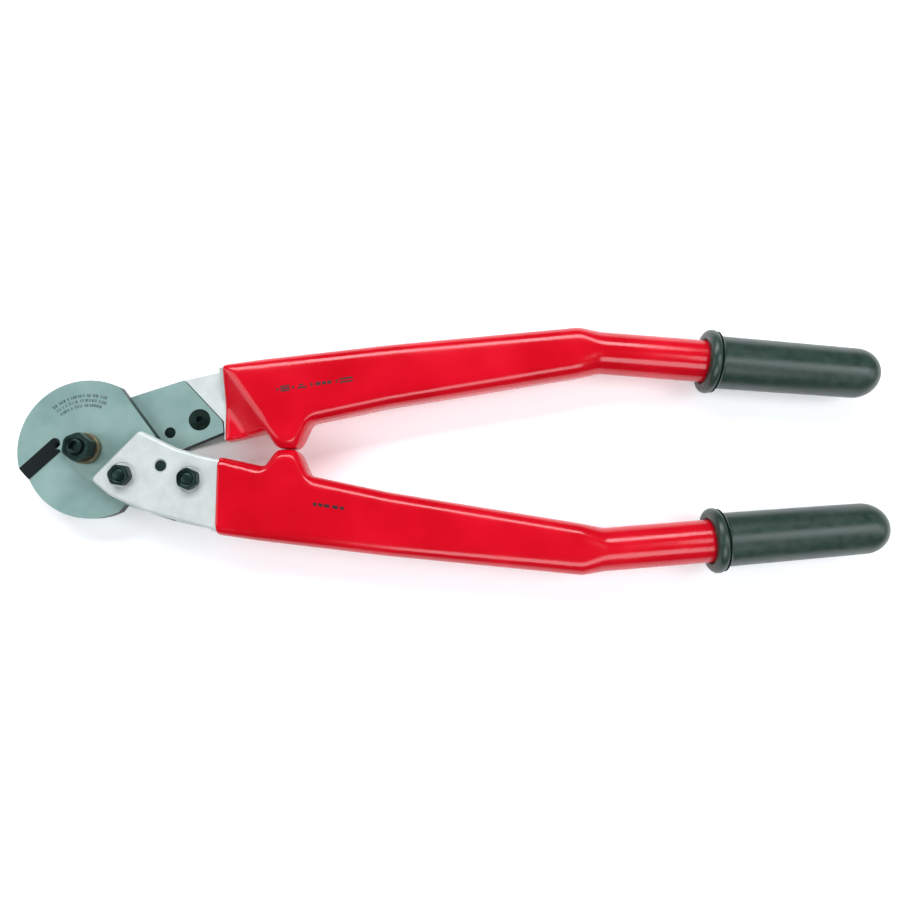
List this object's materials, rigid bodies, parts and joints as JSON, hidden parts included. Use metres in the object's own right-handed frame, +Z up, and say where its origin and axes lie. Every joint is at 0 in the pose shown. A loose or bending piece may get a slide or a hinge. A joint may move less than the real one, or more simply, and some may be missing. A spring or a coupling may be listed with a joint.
{
  "type": "insulated bolt cutters",
  "caption": "Two-hand cutters with overlapping round blades on a bolted pivot, dipped insulated handles with stop lugs and flanged rubber grips.",
  "frame": {"origin": "bottom centre of the closed tool's box, on the surface it lies on", "axes": "+X along the centre line from the pivot towards the grips, +Z up from the surface the tool lies on, through its thickness"},
  "size_m": [0.5901, 0.17, 0.0476],
  "materials": {
    "blade_steel": "surface ground flat, with black oxide left on the edge walls",
    "forged_aluminium": "sandblasted casting with rounded edges",
    "dipped_insulation": "glossy dipped plastisol",
    "grip_rubber": "satin moulded rubber",
    "black_oxide": "oiled black oxide",
    "pivot_bronze": "oiled sintered bronze"
  },
  "bodies": {
    "upper_half": {"rear_blade": "blade_steel", "upper_handle_core": "forged_aluminium", "upper_handle_insulation": "dipped_insulation", "upper_grip": "grip_rubber", "upper_locating_pin": "black_oxide", "upper_front_screw": "black_oxide", "upper_rear_screw": "black_oxide", "upper_front_nut": "black_oxide", "upper_rear_nut": "black_oxide", "pivot_bush": "pivot_bronze", "pivot_collar": "pivot_bronze", "pivot_rear_collar": "pivot_bronze", "pivot_nut": "black_oxide", "pivot_bolt": "black_oxide"},
    "lower_half": {"front_blade": "blade_steel", "lower_handle_core": "forged_aluminium", "lower_handle_insulation": "dipped_insulation", "lower_grip": "grip_rubber", "lower_locating_pin": "black_oxide", "lower_front_screw": "black_oxide", "lower_rear_screw": "black_oxide", "lower_front_nut": "black_oxide", "lower_rear_nut": "black_oxide"}
  },
  "joints": [
    {"name": "blade_pivot", "type": "hinge", "parent": "upper_half", "child": "lower_half", "pos_m": [-0.248, 0, 0.022], "axis": [0, 0, -1], "range_deg": [0, 90]}
  ]
}
